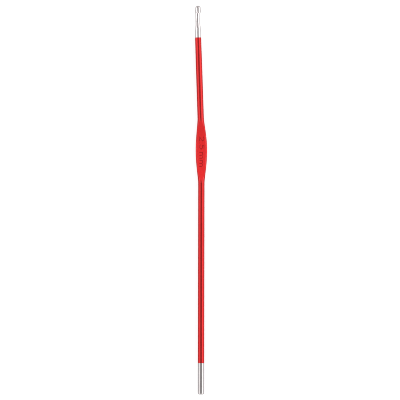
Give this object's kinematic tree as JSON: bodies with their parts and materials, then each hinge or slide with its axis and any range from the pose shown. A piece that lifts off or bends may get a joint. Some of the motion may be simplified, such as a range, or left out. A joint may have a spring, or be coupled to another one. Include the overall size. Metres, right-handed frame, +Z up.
{
  "type": "crochet hook",
  "caption": "Slim metal crochet hook with a bright undercut hook head, a red anodised handle with a flat pressed thumb rest, and a bright butt end.",
  "frame": {"origin": "on the surface that the hook lies on, under the middle of its length and width", "axes": "+X along the handle from the butt towards the hook, +Z up out of the marked flat of the thumb rest, +Y to the side that the front shaft is set over to"},
  "size_m": [0.152, 0.0048, 0.0025],
  "materials": {
    "bright_metal": "bare metal, polished bright, with fine lines along the rod",
    "red_anodised": "red anodised, semi-gloss, with fine lines along the rod"
  },
  "bodies": {
    "root": {"hook_head": "bright_metal", "handle": "red_anodised", "end_plug": "bright_metal"}
  },
  "joints": []
}
